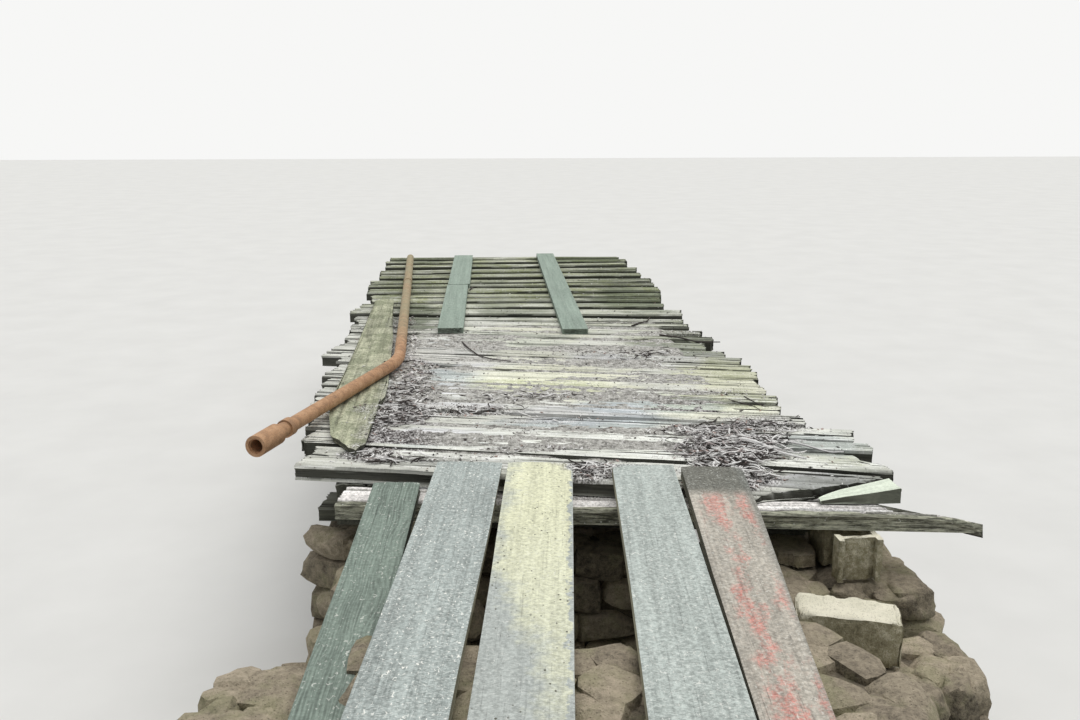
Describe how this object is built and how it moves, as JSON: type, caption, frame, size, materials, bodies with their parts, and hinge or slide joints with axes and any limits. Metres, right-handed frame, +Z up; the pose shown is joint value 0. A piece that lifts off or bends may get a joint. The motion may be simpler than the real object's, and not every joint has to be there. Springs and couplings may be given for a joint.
{
  "type": "wooden footbridge",
  "caption": "Old wooden footbridge of loose cross timbers on stringers, with plank approach, track boards, a rusty pipe along one side and dry rubble abutments.",
  "frame": {"origin": "under the near bearing wall at creek level, on the bridge's centre line", "axes": "+Z up, +Y along the bridge away from the plank approach, +X to the right across it"},
  "size_m": [3.213, 10.536, 1.3709],
  "materials": {
    "weathered_timber": "weathered silver grey with moss",
    "dark_timber": "dark weathered",
    "grey_plank": "weathered dark grey",
    "lichen_plank": "pale lichen",
    "red_stained_plank": "weathered, remains of red paint",
    "green_board": "green-grey weathered",
    "lichen_slab": "rotten with lichen",
    "rusty_steel": "rust",
    "concrete": "weathered concrete",
    "rubble": "rough dry rubble"
  },
  "bodies": {
    "root": {"deck_timber_01": "weathered_timber", "deck_timber_02": "weathered_timber", "deck_timber_03": "weathered_timber", "deck_timber_04": "weathered_timber", "deck_timber_05": "weathered_timber", "deck_timber_06": "weathered_timber", "deck_timber_07": "weathered_timber", "deck_timber_08": "weathered_timber", "deck_timber_09": "weathered_timber", "deck_timber_10": "weathered_timber", "deck_timber_11": "weathered_timber", "deck_timber_12": "weathered_timber", "deck_timber_13": "weathered_timber", "deck_timber_14": "weathered_timber", "deck_timber_15": "weathered_timber", "deck_timber_16": "weathered_timber", "deck_timber_17": "weathered_timber", "deck_timber_18": "weathered_timber", "deck_timber_19": "weathered_timber", "deck_timber_20": "weathered_timber", "deck_timber_21": "weathered_timber", "deck_timber_22": "weathered_timber", "deck_timber_23": "weathered_timber", "deck_timber_24": "weathered_timber", "deck_timber_25": "weathered_timber", "deck_timber_26": "weathered_timber", "deck_timber_27": "weathered_timber", "deck_timber_28": "weathered_timber", "deck_timber_29": "weathered_timber", "deck_timber_30": "weathered_timber", "deck_timber_31": "weathered_timber", "stringer_left_outer": "dark_timber", "stringer_left_inner": "dark_timber", "stringer_right_inner": "dark_timber", "stringer_right_outer": "dark_timber", "cross_beam": "dark_timber", "near_sill": "dark_timber", "far_sill": "dark_timber", "loose_timber": "weathered_timber", "approach_plank_1": "grey_plank", "approach_plank_2": "grey_plank", "approach_plank_4": "grey_plank", "approach_plank_3": "lichen_plank", "approach_plank_5": "red_stained_plank", "track_board_right": "green_board", "track_board_left_far": "green_board", "track_board_left_near": "green_board", "side_slab": "lichen_slab", "pipe_far_run": "rusty_steel", "pipe_bend": "rusty_steel", "pipe_near_run": "rusty_steel", "pipe_couplings": "rusty_steel", "hollow_blocks": "concrete", "fallen_block": "concrete", "bearing_stones": "rubble", "near_bearing_wall": "rubble", "near_cheek": "rubble", "near_wing": "rubble", "approach_footing": "rubble", "far_abutment": "rubble"}
  },
  "joints": []
}
